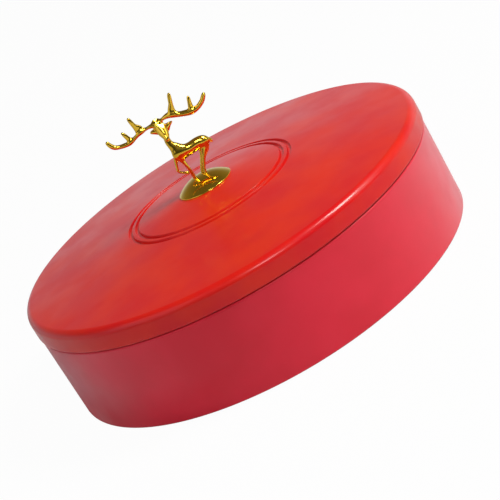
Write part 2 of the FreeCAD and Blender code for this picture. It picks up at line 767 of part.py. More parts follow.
def limb(stations):
    """A solid through the ovals at a limb's stations."""
    unit = size("trunk_length")
    centres = [FreeCAD.Vector(x, y, z - CROWN_SHARE) * unit for x, y, z, across, deep in stations]
    rings = []
    last = len(stations) - 1
    for index, (x, y, z, across, deep) in enumerate(stations):
        along = centres[min(index + 1, last)] - centres[max(index - 1, 0)]
        along.normalize()
        rings.append(oval(centres[index], along, across * unit, deep * unit))
    return Part.makeLoft(rings, True, False)


def make_deer():
    """The cast deer: one solid of all its limbs, seated on the dome with a pin under each hoof."""
    limbs = [limb(stations) for stations in LIMB_SHARES]
    figure = limbs[0].multiFuse(limbs[1:])
    ball = size(BALL_RADIUS)
    figure = figure.cut(Part.makeSphere(ball, UP * -ball))
    unit = size("trunk_length")
    pins = []
    for x_share, y_share in HOOF_SHARES:
        foot = FreeCAD.Vector(x_share * unit, y_share * unit, 0)
        reach = math.sqrt(ball ** 2 - foot.x ** 2 - foot.y ** 2)
        foot.z = reach - ball - size("foot_pin_length")
        length = size("foot_pin_length + foot_pin_radius")
        pins.append(Part.makeCylinder(size("foot_pin_radius"), length, foot, UP))
    figure = figure.multiFuse(pins)
    deer = doc.addObject("Part::Feature", "deer_figure")
    deer.Shape = figure.Solids[0] if len(figure.Solids) == 1 else figure
    crown = size(f"{KNOB_SEAT} + dome_height")
    deer.Placement = FreeCAD.Placement(UP * crown, FreeCAD.Rotation())
    return deer


def make_screw():
    """A pan-head machine screw that comes up through the lid into the dome, with a cross slot."""
    body = new_body("handle_screw", WASHER_FOOT)
    section = new_sketch(body, "ScrewSection", "XZ_Plane")
    draw_outline(section, [
        ("0", "-screw_head_height"),
        ("screw_head_radius", "-screw_head_height"),
        ("screw_head_radius", "0"),
        ("screw_radius", "0"),
        ("screw_radius", SCREW_LENGTH),
        ("0", SCREW_LENGTH),
    ])
    turned(body, "Revolution", "ScrewShank", section)
    rim = circles_at(own_shape(body), size("screw_head_radius"), -size("screw_head_height"))
    rounded(body, "ScrewHeadRound", rim, "screw_head_round")
    before = body.Shape.Volume
    slot = new_sketch(body, "SlotOutline", "XY_Plane", "-screw_head_height")
    draw_outline(slot, [
        ("-screw_slot_length / 2", "-screw_slot_width / 2"),
        ("screw_slot_length / 2", "-screw_slot_width / 2"),
        ("screw_slot_length / 2", "screw_slot_width / 2"),
        ("-screw_slot_length / 2", "screw_slot_width / 2"),
    ])
    cut = feature(body, "Pocket", "Slot", slot, Length="screw_slot_depth")
    cut.Reversed = True
    cut_checked(body, before, cut)
    pattern = body.newObject("PartDesign::PolarPattern", "CrossSlot")
    pattern.Originals = [cut]
    pattern.Axis = (slot, ["N_Axis"])
    pattern.Angle = FULL_TURN / 2
    pattern.Occurrences = 2
    body.Tip = pattern
    doc.recompute()
    return body


def make_washer():
    """A flat washer between the screw's head and the lid's boss."""
    body = new_body("screw_washer", WASHER_FOOT)
    ring = new_sketch(body, "WasherOutline", "XY_Plane")
    draw_circle(ring, "0", "0", "washer_radius")
    draw_circle(ring, "0", "0", "screw_radius + screw_clearance")
    feature(body, "Pad", "Washer", ring, Length="washer_thickness")
    doc.recompute()
    return body


def check(parts):
    """Stop on any failed feature and on any sub-part that isn't one valid solid."""
    for item in doc.Objects:
        bad = [state for state in item.State if state in ("Invalid", "Error")]
        if bad:
            raise RuntimeError(f"{item.Name} is {bad}")
    for item in parts:
        shape = item.Shape
        if shape.isNull() or not shape.isValid() or len(shape.Solids) != 1:
            raise RuntimeError(f"{item.Label} isn't one valid solid")
        print(f"{item.Label}: volume {shape.Volume:.0f} cubic mm, {len(shape.Faces)} faces")


sheet = make_sheet()
parts = [make_base(), make_lid(), make_knob_base(), make_deer(), make_screw(), make_washer()]
parts += make_trays()
parts += make_pads()
doc.recompute()
check(parts)
os.makedirs("parts", exist_ok=True)
for item in parts:
    item.Shape.exportStep(os.path.join("parts", f"{item.Label}.step"))
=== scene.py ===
# %% [markdown]
# # A red snack box with a gold deer
# The box is a shallow round tray box with a crowned lid. A small dome and a walking deer, both cast
# in metal and plated gold, are the lid's handle. The measured solids come in first as a fixed
# frame, and every surface made here is laid over them in the same place, in metres.

# %% load the frame
import json
import math

import bpy
import numpy as np
from mathutils import Matrix


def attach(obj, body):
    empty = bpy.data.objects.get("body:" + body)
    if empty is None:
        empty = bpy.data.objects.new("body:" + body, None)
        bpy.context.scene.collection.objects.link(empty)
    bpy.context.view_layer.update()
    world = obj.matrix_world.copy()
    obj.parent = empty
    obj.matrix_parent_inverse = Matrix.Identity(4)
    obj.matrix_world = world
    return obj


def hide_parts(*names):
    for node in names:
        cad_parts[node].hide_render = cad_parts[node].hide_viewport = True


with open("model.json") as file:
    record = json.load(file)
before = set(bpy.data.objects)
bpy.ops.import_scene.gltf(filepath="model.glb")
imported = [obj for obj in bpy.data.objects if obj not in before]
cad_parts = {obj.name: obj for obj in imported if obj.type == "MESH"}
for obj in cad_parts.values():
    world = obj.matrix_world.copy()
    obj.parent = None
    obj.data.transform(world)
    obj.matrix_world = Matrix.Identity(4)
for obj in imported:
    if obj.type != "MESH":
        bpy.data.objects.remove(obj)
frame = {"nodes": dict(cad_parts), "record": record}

MM = 0.001
FULL_TURN = 2 * math.pi
TINY = 1e-6
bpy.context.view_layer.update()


# %% [markdown]
# ## Putting a surface into a mesh
# Each piece is worked out as arrays of points. One helper writes points, faces and exact normals
# into a mesh at once, which is quicker and cleaner than adding faces one at a time. The normals
# come from the formula of the surface, so a long flat face beside a small round stays flat to the
# light.

# %% meshes from arrays
def add_piece(name, points, faces, normals, body, material):
    """A mesh object from points in millimetres, faces as rows of point numbers, and the points'
    normals. It moves with the body and carries the material it is given."""
    mesh = bpy.data.meshes.new(name)
    mesh.from_pydata((np.asarray(points) * MM).tolist(), [], faces)
    mesh.validate()
    mesh.shade_smooth()
    mesh.normals_split_custom_set_from_vertices(np.asarray(normals).tolist())
    mesh.update()
    piece = bpy.data.objects.new(name, mesh)
    bpy.context.scene.collection.objects.link(piece)
    piece.data.materials.append(material)
    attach(piece, body)
    print(name, len(points), "points", len(faces), "faces")
    return piece


# %% [markdown]
# ## Turned shapes
# The box, its lid and the dome are turned shapes, as if cut on a lathe. A section is a list of
# corners, each with its own round. An arc replaces each corner, and the section is then carried
# round the axis. Small rounds matter more than they seem to: they are what catches the light at a
# moulded edge.

# %% sections with rounded corners
ARC_STEP = 0.16


def rounded_section(corners, closed):
    """Points and outward normals of a section. Each corner is radius, height, round.

    At a corner the arc starts where the round's circle touches the line before it and ends where it
    touches the line after it; an arc point's normal points from the circle's centre, or to it where
    the corner is a hollow one. The section runs anticlockwise, so outside is to its right. One step
    of an arc turns by ARC_STEP radians at most.
    """
    count = len(corners)
    points = []
    normals = []
    for index, (radius, height, bend) in enumerate(corners):
        here = np.array([radius, height], float)
        first = not closed and index == 0
        last = not closed and index == count - 1
        before = here - np.array(corners[index - 1][:2])
        after = np.array(corners[(index + 1) % count][:2]) - here
        before = before / np.linalg.norm(before)
        after = after / np.linalg.norm(after)
        if first or last:
            along = after if first else before
            points.append(here)
            normals.append(np.array([along[1], -along[0]]))
            continue
        if bend == 0:
            along = before + after
            points.append(here)
            normals.append(np.array([along[1], -along[0]]) / np.linalg.norm(along))
            continue
        cross = before[0] * after[1] - before[1] * after[0]
        turn = math.atan2(cross, before @ after)
        side = 1.0 if turn > 0 else -1.0
        cut = bend * math.tan(abs(turn) / 2)
        centre = here - before * cut + side * bend * np.array([-before[1], before[0]])
        steps = max(2, math.ceil(abs(turn) / ARC_STEP))
        for step in range(steps + 1):
            part = turn * step / steps
            out = np.array([before[1], -before[0]])
            out = np.array([out[0] * math.cos(part) - out[1] * math.sin(part),
                            out[0] * math.sin(part) + out[1] * math.cos(part)])
            points.append(centre + side * bend * out)
            normals.append(out)
    return np.array(points), np.array(normals)


# %% carrying a section round the axis
def turn_section(corners, segments, closed=True):
    """A surface of revolution: x = r cos t, y = r sin t, z = z, with poles where r is nothing."""
    section, outward = rounded_section(corners, closed)
    angles = np.arange(segments) * FULL_TURN / segments
    ring = np.stack([np.cos(angles), np.sin(angles)], axis=1)
    at_pole = [index for index, point in enumerate(section) if point[0] < TINY]
    keep = [index for index in range(len(section)) if index not in at_pole]
    body = section[keep]
    rows = len(body)
    turned = []
    for part in (body, outward[keep]):
        level = ring[None, :, :] * part[:, None, :1]
        upright = np.broadcast_to(part[:, None, 1:], (rows, segments, 1))
        turned.append(np.concatenate([level, upright], axis=2).reshape(-1, 3))
    points, normals = turned
    row = np.arange(rows if closed else rows - 1)[:, None]
    column = np.arange(segments)[None, :]
    next_row = (row + 1) % rows
    next_column = (column + 1) % segments
    quads = np.stack([row * segments + column, row * segments + next_column,
                      next_row * segments + next_column, next_row * segments + column], axis=2)
    faces = quads.reshape(-1, 4).tolist()
    for index in at_pole:
        pole = len(points)
        points = np.vstack([points, [0.0, 0.0, section[index][1]]])
        up = 1.0 if outward[index][1] > 0 else -1.0
        normals = np.vstack([normals, [0.0, 0.0, up]])
        here = np.arange(segments)
        there = (here + 1) % segments
        start = 0 if index == 0 else (rows - 1) * segments
        first, second = (there, here) if index == 0 else (here, there)
        fan = np.stack([np.full(segments, pole), start + first, start + second], axis=1)
        faces += fan.tolist()
    return points, faces, normals


# %% [markdown]
# ## Red plastic
# The box is moulded in a satin red plastic, the base a shade more crimson than the lid. The skin
# isn't quite even: handling leaves soft marks that show as duller and glossier patches, so clouds
# in the roughness and the colour keep it from looking like a computer's flat red. The lid has a
# thin clear coat as well, which sharpens the light on its edges. The base has a pale bloom, the
# bit of fuzz that a satin skin shows where it turns away from the eye. Low down at the left end
# the bloom is made weaker, which is painted shade standing in for a darker reflection there.
# Clouds and bloom read Object coordinates, so they stay with the piece.

# %% the reds
def new_material(name, color, roughness, metallic=0.0):
    """A material with its main shader, and the tree it stands in."""
    material = bpy.data.materials.new(name)
    material.use_nodes = True
    shader = material.node_tree.nodes["Principled BSDF"]
    shader.inputs["Base Color"].default_value = (*color, 1.0)
    shader.inputs["Roughness"].default_value = roughness
    shader.inputs["Metallic"].default_value = metallic
    return material, material.node_tree, shader


def add_noise(tree, scale, detail=4.0, roughness=0.55):
    """Soft clouds over the piece's own coordinates."""
    place = tree.nodes.new("ShaderNodeTexCoord")
    noise = tree.nodes.new("ShaderNodeTexNoise")
    noise.inputs["Scale"].default_value = scale
    noise.inputs["Detail"].default_value = detail
    noise.inputs["Roughness"].default_value = roughness
    tree.links.new(place.outputs["Object"], noise.inputs["Vector"])
    return noise.outputs["Fac"]


def add_range(tree, value, low, high, start=0.3, end=0.7):
    """The value carried smoothly from one span to another, and held at the ends."""
    spread = tree.nodes.new("ShaderNodeMapRange")
    spread.interpolation_type = "SMOOTHSTEP"
    spread.inputs["From Min"].default_value = start
    spread.inputs["From Max"].default_value = end
    spread.inputs["To Min"].default_value = low
    spread.inputs["To Max"].default_value = high
    tree.links.new(value, spread.inputs["Value"])
    return spread.outputs["Result"]


def add_math(tree, operation, *values):
    """An operation on values, each a number or the output of another node."""
    node = tree.nodes.new("ShaderNodeMath")
    node.operation = operation
    for value, socket in zip(values, node.inputs):
        if isinstance(value, float):
            socket.default_value = value
        else:
            tree.links.new(value, socket)
    return node.outputs[0]


def add_bump(tree, shader, height, strength, distance):
    """Tiny relief on the surface."""
    bump = tree.nodes.new("ShaderNodeBump")
    bump.inputs["Strength"].default_value = strength
    bump.inputs["Distance"].default_value = distance
    tree.links.new(height, bump.inputs["Height"])
    tree.links.new(bump.outputs["Normal"], shader.inputs["Normal"])


def add_two_colors(tree, shader, value, low, high):
    """A colour between two, by a value from nothing to one."""
    mix = tree.nodes.new("ShaderNodeMix")
    mix.data_type = "RGBA"
    mix.inputs["A"].default_value = (*low, 1.0)
    mix.inputs["B"].default_value = (*high, 1.0)
    tree.links.new(value, mix.inputs["Factor"])
    tree.links.new(mix.outputs["Result"], shader.inputs["Base Color"])


def add_bloom_with_painted_shade(tree, shader, bloom):
    """A pale bloom that fades low down at the left end, where its weight is painted shade standing
    in for a darker reflection. It takes the larger of two weights, one that grows with the height
    and one that grows to the right."""
    place = tree.nodes.new("ShaderNodeTexCoord")
    parts = tree.nodes.new("ShaderNodeSeparateXYZ")
    tree.links.new(place.outputs["Object"], parts.inputs["Vector"])
    # Painted shade: the sheen weight fades low down and at the left end, standing in for a darker
    # reflection there.
    upward = add_range(tree, parts.outputs["Z"], low=0.0, high=bloom, start=0.003, end=0.030)
    across = add_range(tree, parts.outputs["X"], low=0.0, high=bloom, start=-0.090, end=-0.010)
    tree.links.new(add_math(tree, "MAXIMUM", upward, across), shader.inputs["Sheen Weight"])
    shader.inputs["Sheen Roughness"].default_value = 0.5
    shader.inputs["Sheen Tint"].default_value = (1.0, 0.91, 0.98, 1.0)


def red_plastic(name, low, high, roughness, gloss_level, coat, bloom):
    """Satin red: two near reds in soft clouds, uneven gloss, a pale bloom that fades low down at
    the left end as painted shade, and a very fine grain.
    """
    material, tree, shader = new_material(name, high, roughness)
    shader.inputs["Specular IOR Level"].default_value = gloss_level
    shader.inputs["Coat Weight"].default_value = coat
    shader.inputs["Coat Roughness"].default_value = 0.18
    add_bloom_with_painted_shade(tree, shader, bloom)
    clouds = add_noise(tree, scale=28.0, detail=3.0, roughness=0.5)
    add_two_colors(tree, shader, add_range(tree, clouds, 0.0, 1.0), low, high)
    patches = add_noise(tree, scale=38.0, detail=3.0, roughness=0.5)
    gloss = add_range(tree, patches, roughness - 0.08, roughness + 0.08)
    tree.links.new(gloss, shader.inputs["Roughness"])
    grain = add_noise(tree, scale=1500.0, detail=2.0)
    add_bump(tree, shader, grain, strength=0.05, distance=0.00005)
    return material


lid_red = red_plastic("lid_red_satin", low=(0.64, 0.003, 0.008), high=(0.71, 0.016, 0.002),
                      roughness=0.37, gloss_level=0.18, coat=0.40, bloom=0.0)
base_red = red_plastic("base_red_satin", low=(0.67, 0.001, 0.020), high=(0.74, 0.004, 0.029),
                       roughness=0.38, gloss_level=0.38, coat=0.0, bloom=0.40)
tray_red = red_plastic("tray_red_satin", low=(0.62, 0.009, 0.006), high=(0.68, 0.012, 0.008),
                       roughness=0.36, gloss_level=0.5, coat=0.1, bloom=0.05)
print("reds made")


# %% [markdown]
# ## Gold plate, steel and rubber
# The dome and the deer are polished castings plated with gold. Polished gold is nearly a mirror: it
# has no colour of its own except the tint of what it reflects. A polished casting isn't quite true,
# so its surface leans a little here and there and breaks the reflections up. The screw is plated
# with zinc and brushed by handling, and the pads are matt black rubber with a moulded grain.

# %% gold, steel and rubber
def worn_surface(name, low, high, cloud_scale, rough, patch, grain, relief, metallic=0.0):
    """A surface worn by handling: two near colours in clouds, a roughness that goes between two
    values in patches, and a fine grain. Patch and grain are each a noise's scale and detail, and
    relief is the grain's strength and its depth in metres."""
    material, tree, shader = new_material(name, high, rough[1], metallic)
    clouds = add_noise(tree, cloud_scale)
    add_two_colors(tree, shader, add_range(tree, clouds, 0.0, 1.0), low, high)
    dullness = add_range(tree, add_noise(tree, *patch), *rough)
    tree.links.new(dullness, shader.inputs["Roughness"])
    add_bump(tree, shader, add_noise(tree, *grain), *relief)
    return material


gold = worn_surface("gold_plate", low=(0.79, 0.49, 0.04), high=(0.88, 0.58, 0.06),
                    cloud_scale=120.0, rough=(0.07, 0.16), patch=(420.0, 6.0),
                    grain=(200.0, 2.0), relief=(0.10, 0.0003), metallic=1.0)
steel = worn_surface("zinc_plated_steel", low=(0.55, 0.55, 0.57), high=(0.68, 0.68, 0.69),
                     cloud_scale=300.0, rough=(0.24, 0.42), patch=(900.0, 6.0),
                     grain=(1500.0, 3.0), relief=(0.1, 0.0001), metallic=1.0)
rubber = worn_surface("pad_rubber_matt", low=(0.024, 0.024, 0.025), high=(0.045, 0.044, 0.043),
                      cloud_scale=160.0, rough=(0.66, 0.86), patch=(700.0, 5.0),
                      grain=(1800.0, 4.0), relief=(0.3, 0.0001))
print("metals and rubber made")


# %% [markdown]
# ## The lid
# The lid is a thin turned shell: a short skirt, a rounded edge, a top that rises in two slopes, and
# two fine grooves where they meet. A boss below takes the handle's screw. It is made as one closed
# section on the main sizes of the measured lid, so it can stand in for it. Its edges are rounder
# and its grooves a little wider and twice as deep as the measured ones, because that is how they
# catch the light in the photograph. Sizes are in millimetres.

# %% sizes of the lid
LID_FOOT = 54.55
LID_RADIUS = 130.0
SKIRT_INSIDE = 128.0
LID_EDGE = 68.0
RING_RADIUS = 53.2
LID_RING = 75.5
SEAT_RADIUS = 17.0
LID_SEAT = 79.8
LID_WALL = 2.4
GROOVE_SPACING = 4.7
GROOVE_HALF = 1.35
GROOVE_FLOOR_HALF = 0.85
GROOVE_DEPTH = 1.6
EDGE_ROUND = 4.8
LIP_ROUND = 1.5
LID_BOSS = 7.0
LID_BOSS_FOOT = 73.8
SCREW_HOLE = 2.25


def groove_corners(radius, surface, fall_out, fall_in):
    """The corners of one groove, from its outer rim down its steep side, across, and up again. A
    fall is how much the top drops outward for each millimetre."""
    floor = surface - GROOVE_DEPTH
    return [
        (radius + GROOVE_HALF, surface - GROOVE_HALF * fall_out, 0.3),
        (radius + GROOVE_FLOOR_HALF, floor, 0.35),
        (radius - GROOVE_FLOOR_HALF, floor, 0.35),
        (radius - GROOVE_HALF, surface + GROOVE_HALF * fall_in, 0.3),
    ]


# %% the lid's section
def lid_section():
    """Anticlockwise from the inside of the skirt: lip, side, top and grooves, hole, boss, ceiling.
    Each row is radius, height, round."""
    outer_fall = (LID_RING - LID_EDGE) / (LID_RADIUS - RING_RADIUS)
    inner_fall = (LID_SEAT - LID_RING) / (RING_RADIUS - SEAT_RADIUS)
    inner_ring = RING_RADIUS - GROOVE_SPACING
    inner_surface = LID_RING + GROOVE_SPACING * inner_fall
    return [
        (SKIRT_INSIDE, LID_FOOT, 0.25),
        (LID_RADIUS, LID_FOOT, LIP_ROUND),
        (LID_RADIUS, LID_EDGE, EDGE_ROUND),
        *groove_corners(RING_RADIUS, LID_RING, outer_fall, inner_fall),
        *groove_corners(inner_ring, inner_surface, inner_fall, inner_fall),
        (SEAT_RADIUS, LID_SEAT, 0.5),
        (SCREW_HOLE, LID_SEAT, 0.15),
        (SCREW_HOLE, LID_BOSS_FOOT, 0.15),
        (LID_BOSS, LID_BOSS_FOOT, 0.3),
        (LID_BOSS, LID_SEAT - LID_WALL, 0.5),
        (SEAT_RADIUS, LID_SEAT - LID_WALL, 0.5),
        (RING_RADIUS, LID_RING - LID_WALL, 1.0),
        (SKIRT_INSIDE, LID_EDGE - LID_WALL, 2.5),
    ]


BIG_TURN = 480
points, faces, normals = turn_section(lid_section(), BIG_TURN)
lid = add_piece("lid_skin", points, faces, normals, "lid", lid_red)
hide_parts("lid_shell")


# %% [markdown]
# ## The base
# The base is a deep turned tray: a foot ring, a wall that leans out very little, a shoulder that
# the lid's skirt stands over, and a thin collar that goes up inside the lid. A low ring and low
# ribs on its floor keep the loose trays in their places.

# %% the base's section
BASE_FOOT = 0.6
UNDERSIDE = 2.6
FLOOR_TOP = 5.0
RIB_TOP = 7.5
SHOULDER = 54.25
COLLAR_TOP = 62.25
FOOT_INSIDE = 124.0
COLLAR_INSIDE = 125.8
COLLAR_OUTSIDE = 127.6
RING_INSIDE = 43.8
RING_OUTSIDE = 45.0


def base_section():
    """From the middle of the underside out, up the wall, over the collar and back along the floor.
    Each row is radius, height, round."""
    return [
        (0.0, UNDERSIDE, 0.0),
        (FOOT_INSIDE, UNDERSIDE, 0.5),
        (FOOT_INSIDE, BASE_FOOT, 0.4),
        (128.7, BASE_FOOT, 1.2),
        (129.2, SHOULDER, 1.2),
        (COLLAR_OUTSIDE, SHOULDER, 0.3),
        (COLLAR_OUTSIDE, COLLAR_TOP, 0.8),
        (COLLAR_INSIDE, COLLAR_TOP, 0.4),
        (COLLAR_INSIDE, FLOOR_TOP, 3.0),
        (RING_OUTSIDE, FLOOR_TOP, 0.4),
        (RING_OUTSIDE, RIB_TOP, 0.35),
        (RING_INSIDE, RIB_TOP, 0.35),
        (RING_INSIDE, FLOOR_TOP, 0.4),
        (0.0, FLOOR_TOP, 0.0),
    ]


# %% a straight rib
RIB_COUNT = 6
RIB_START = 49.0
RIB_END = 120.8
RIB_HALF = 0.6
RIB_PROFILE = [
    (-0.25, 5.0, 1.0),
    (-0.08, 5.08, 0.7),
    (0.0, 5.25, 0.0),
    (0.0, 7.15, 0.0),
    (0.1, 7.4, 0.7),
    (0.35, RIB_TOP, 1.0),
]
END_POINTS = 9


def straight_rib(turn):
    """A bar with half round ends, built of level rings and turned about the axis. Each row of the
    profile is how far the ring is drawn in, its height, and the upward share of its normal."""
    bend = np.linspace(-math.pi / 2, math.pi / 2, END_POINTS)
    circle = np.stack([np.cos(bend), np.sin(bend)], axis=1)
    away = np.vstack([circle, -circle])
    count = len(away)
    centres = np.zeros_like(away)
    centres[:END_POINTS, 0] = RIB_END - RIB_HALF
    centres[END_POINTS:, 0] = RIB_START + RIB_HALF
    rings = []
    leans = []
    for inset, height, rise in RIB_PROFILE:
        flat = centres + away * (RIB_HALF - inset)
        rings.append(np.column_stack([flat, np.full(count, height)]))
        leans.append(np.column_stack([away * math.sqrt(1 - rise ** 2), np.full(count, rise)]))
    row = np.arange(len(RIB_PROFILE) - 1)[:, None] * count
    column = np.arange(count)[None, :]
    there = (column + 1) % count
    sides = np.stack([row + column, row + there, row + count + there, row + count + column], axis=2)
    first = np.arange(END_POINTS - 1)
    last = count - 1 - first
    top = np.stack([first, first + 1, last - 1, last], axis=1) + (len(RIB_PROFILE) - 1) * count
    spin = np.array([[math.cos(turn), math.sin(turn), 0],
                     [-math.sin(turn), math.cos(turn), 0],
                     [0, 0, 1]])
    faces = np.vstack([sides.reshape(-1, 4), top])
    return np.vstack(rings) @ spin, faces, np.vstack(leans) @ spin


def base_with_ribs():
    """The turned base, and the ribs from the ring to the wall that part the outer trays."""
    points, faces, normals = turn_section(base_section(), BIG_TURN, closed=False)
    for number in range(RIB_COUNT):
        more, quads, leans = straight_rib(number * FULL_TURN / RIB_COUNT)
        faces = faces + (quads + len(points)).tolist()
        points = np.vstack([points, more])
        normals = np.vstack([normals, leans])
    return points, faces, normals


points, faces, normals = base_with_ribs()
base = add_piece("base_skin", points, faces, normals, "base", base_red)
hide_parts("base_shell")


# %% [markdown]
# ## The deer
# The deer is a small lost-wax casting: trunk, legs, neck, head, ears and antlers run into each
# other with soft fillets. Joining separate tubes would leave creases, so the deer is made as a
# distance field. Each limb is a chain of oval stations, the field tells for any point in space how
# far it is from the nearest limb, and where two limbs meet the smaller distance is taken softly.
# The surface is where the field is nothing. Two flats are cut on the forehead, as with a file,
# because a flat gives polished gold one broad light. The right one leans halfway between the camera
# and the strong lamp, which is where a mirror sends the lamp's light to the eye. Three beads stand
# under the belly.
#
# Each station is x, y, z of the limb's middle, then its half size across the limb and its half size
# front to back. All are shares of the trunk's length, counted from the middle of the handle's seat.

# %% the deer's limbs
TRUNK_LENGTH = 25.0
TRUNK = [
    (-0.216, 0.0, 0.968, 0.120, 0.088),
    (-0.160, 0.0, 0.970, 0.150, 0.108),
    (-0.060, 0.0, 0.960, 0.156, 0.118),
    (0.120, 0.0, 0.942, 0.146, 0.116),
    (0.320, 0.0, 0.956, 0.144, 0.116),
    (0.452, 0.0, 0.940, 0.140, 0.112),
    (0.532, 0.0, 0.912, 0.100, 0.084),
    (0.584, 0.0, 0.888, 0.044, 0.036),
]
NECK = [
    (-0.128, 0.0, 0.850, 0.096, 0.068),
    (-0.130, 0.0, 0.930, 0.176, 0.112),
    (-0.150, 0.0, 1.070, 0.156, 0.106),
    (-0.212, 0.012, 1.210, 0.100, 0.088),
    (-0.240, 0.024, 1.320, 0.080, 0.076),
    (-0.234, 0.030, 1.460, 0.070, 0.070),
    (-0.236, 0.012, 1.640, 0.070, 0.062),
]
HEAD = [
    (-0.244, 0.064, 1.908, 0.112, 0.048),
    (-0.244, 0.058, 1.880, 0.124, 0.072),
    (-0.242, 0.048, 1.784, 0.126, 0.096),
    (-0.230, 0.004, 1.652, 0.132, 0.108),
    (-0.223, -0.056, 1.566, 0.112, 0.098),
    (-0.226, -0.120, 1.500, 0.080, 0.078),
    (-0.228, -0.164, 1.452, 0.062, 0.058),
    (-0.230, -0.190, 1.412, 0.040, 0.036),
]
LEFT_EAR = [
    (-0.300, 0.048, 1.660, 0.092, 0.046),
    (-0.368, 0.056, 1.690, 0.078, 0.040),
    (-0.424, 0.058, 1.704, 0.058, 0.032),
    (-0.468, 0.060, 1.712, 0.040, 0.024),
    (-0.498, 0.060, 1.714, 0.018, 0.014),
]
RIGHT_EAR = [
    (-0.150, 0.040, 1.640, 0.120, 0.050),
    (-0.090, 0.046, 1.656, 0.092, 0.042),
    (-0.036, 0.052, 1.674, 0.062, 0.034),
    (0.024, 0.056, 1.690, 0.040, 0.026),
    (0.084, 0.060, 1.708, 0.018, 0.014),
]
LEFT_BEAM = [
    (-0.300, 0.060, 1.834, 0.068, 0.068),
    (-0.400, 0.064, 1.850, 0.051, 0.051),
    (-0.520, 0.084, 1.852, 0.039, 0.039),
    (-0.660, 0.104, 1.842, 0.054, 0.054),
    (-0.800, 0.120, 1.806, 0.046, 0.046),
    (-1.012, 0.160, 1.738, 0.054, 0.054),
    (-1.140, 0.176, 1.744, 0.056, 0.056),
    (-1.280, 0.192, 1.772, 0.051, 0.051),
    (-1.380, 0.204, 1.818, 0.056, 0.056),
    (-1.442, 0.208, 1.900, 0.056, 0.056),
    (-1.474, 0.208, 1.990, 0.045, 0.045),
    (-1.480, 0.208, 2.022, 0.025, 0.025),
]
LEFT_INNER_TINE = [
    (-0.676, 0.112, 1.856, 0.084, 0.044),
    (-0.684, 0.112, 1.928, 0.103, 0.040),
    (-0.732, 0.112, 2.044, 0.059, 0.044),
    (-0.752, 0.112, 2.136, 0.051, 0.046),
    (-0.768, 0.112, 2.232, 0.042, 0.040),
    (-0.776, 0.112, 2.284, 0.021, 0.021),
]
LEFT_OUTER_TINE = [
    (-0.976, 0.156, 1.764, 0.063, 0.045),
    (-1.032, 0.156, 1.944, 0.049, 0.045),
    (-1.060, 0.156, 2.016, 0.036, 0.034),
    (-1.072, 0.156, 2.044, 0.017, 0.017),
]
RIGHT_BEAM = [
    (-0.192, 0.052, 1.846, 0.049, 0.049),
    (-0.096, 0.040, 1.866, 0.040, 0.040),
    (0.000, 0.024, 1.880, 0.056, 0.056),
    (0.092, 0.004, 1.876, 0.072, 0.072),
    (0.200, -0.028, 1.840, 0.076, 0.076),
    (0.320, -0.056, 1.782, 0.067, 0.067),
    (0.520, -0.104, 1.724, 0.076, 0.076),
    (0.620, -0.128, 1.708, 0.067, 0.067),
    (0.720, -0.148, 1.724, 0.063, 0.063),
    (0.820, -0.168, 1.764, 0.060, 0.060),
    (0.920, -0.184, 1.828, 0.058, 0.058),
    (1.000, -0.196, 1.918, 0.051, 0.051),
    (1.044, -0.200, 1.968, 0.024, 0.024),
]
RIGHT_INNER_TINE = [
    (0.176, -0.024, 1.870, 0.089, 0.055),
    (0.196, -0.024, 1.962, 0.085, 0.053),
    (0.252, -0.024, 2.090, 0.055, 0.049),
    (0.284, -0.024, 2.182, 0.050, 0.047),
    (0.316, -0.024, 2.278, 0.045, 0.041),
    (0.336, -0.024, 2.342, 0.021, 0.021),
]
RIGHT_OUTER_TINE = [
    (0.600, -0.120, 1.756, 0.069, 0.049),
    (0.644, -0.120, 1.920, 0.050, 0.045),
    (0.668, -0.120, 2.008, 0.042, 0.039),
    (0.680, -0.120, 2.072, 0.021, 0.021),
]
STANDING_FORELEG = [
    (-0.208, -0.048, 0.930, 0.080, 0.048),
    (-0.192, -0.056, 0.832, 0.064, 0.044),
    (-0.174, -0.060, 0.750, 0.050, 0.040),
    (-0.156, -0.064, 0.650, 0.041, 0.036),
    (-0.144, -0.064, 0.542, 0.042, 0.036),
    (-0.136, -0.064, 0.370, 0.044, 0.036),
    (-0.132, -0.064, 0.232, 0.044, 0.038),
]
RAISED_FORELEG = [
    (-0.236, 0.040, 0.964, 0.056, 0.044),
    (-0.288, 0.052, 0.884, 0.056, 0.042),
    (-0.346, 0.056, 0.755, 0.038, 0.034),
    (-0.386, 0.056, 0.620, 0.034, 0.030),
    (-0.376, 0.056, 0.558, 0.034, 0.030),
    (-0.328, 0.056, 0.512, 0.029, 0.028),
    (-0.216, 0.054, 0.440, 0.034, 0.032),
    (-0.184, 0.052, 0.416, 0.024, 0.022),
]
NEAR_HIND_LEG = [
    (0.464, -0.048, 0.930, 0.116, 0.056),
    (0.440, -0.060, 0.818, 0.104, 0.054),
    (0.388, -0.064, 0.730, 0.084, 0.050),
    (0.328, -0.066, 0.650, 0.054, 0.042),
    (0.274, -0.066, 0.570, 0.042, 0.036),
    (0.168, -0.062, 0.358, 0.034, 0.032),
    (0.140, -0.060, 0.228, 0.041, 0.036),
]
FAR_HIND_LEG = [
    (0.380, 0.048, 0.876, 0.100, 0.052),
    (0.328, 0.052, 0.756, 0.068, 0.044),
    (0.288, 0.052, 0.668, 0.046, 0.038),
    (0.224, 0.050, 0.556, 0.041, 0.034),
    (0.104, 0.046, 0.336, 0.036, 0.030),
    (0.076, 0.044, 0.224, 0.038, 0.034),
]
TAIL = [
    (0.572, 0.0, 0.920, 0.046, 0.036),
    (0.624, 0.0, 0.872, 0.042, 0.034),
    (0.640, 0.0, 0.828, 0.032, 0.026),
    (0.640, 0.0, 0.804, 0.014, 0.012),
]


# %% a smooth chain through the stations
THINNEST = 0.2
TIP_GAP = 0.05


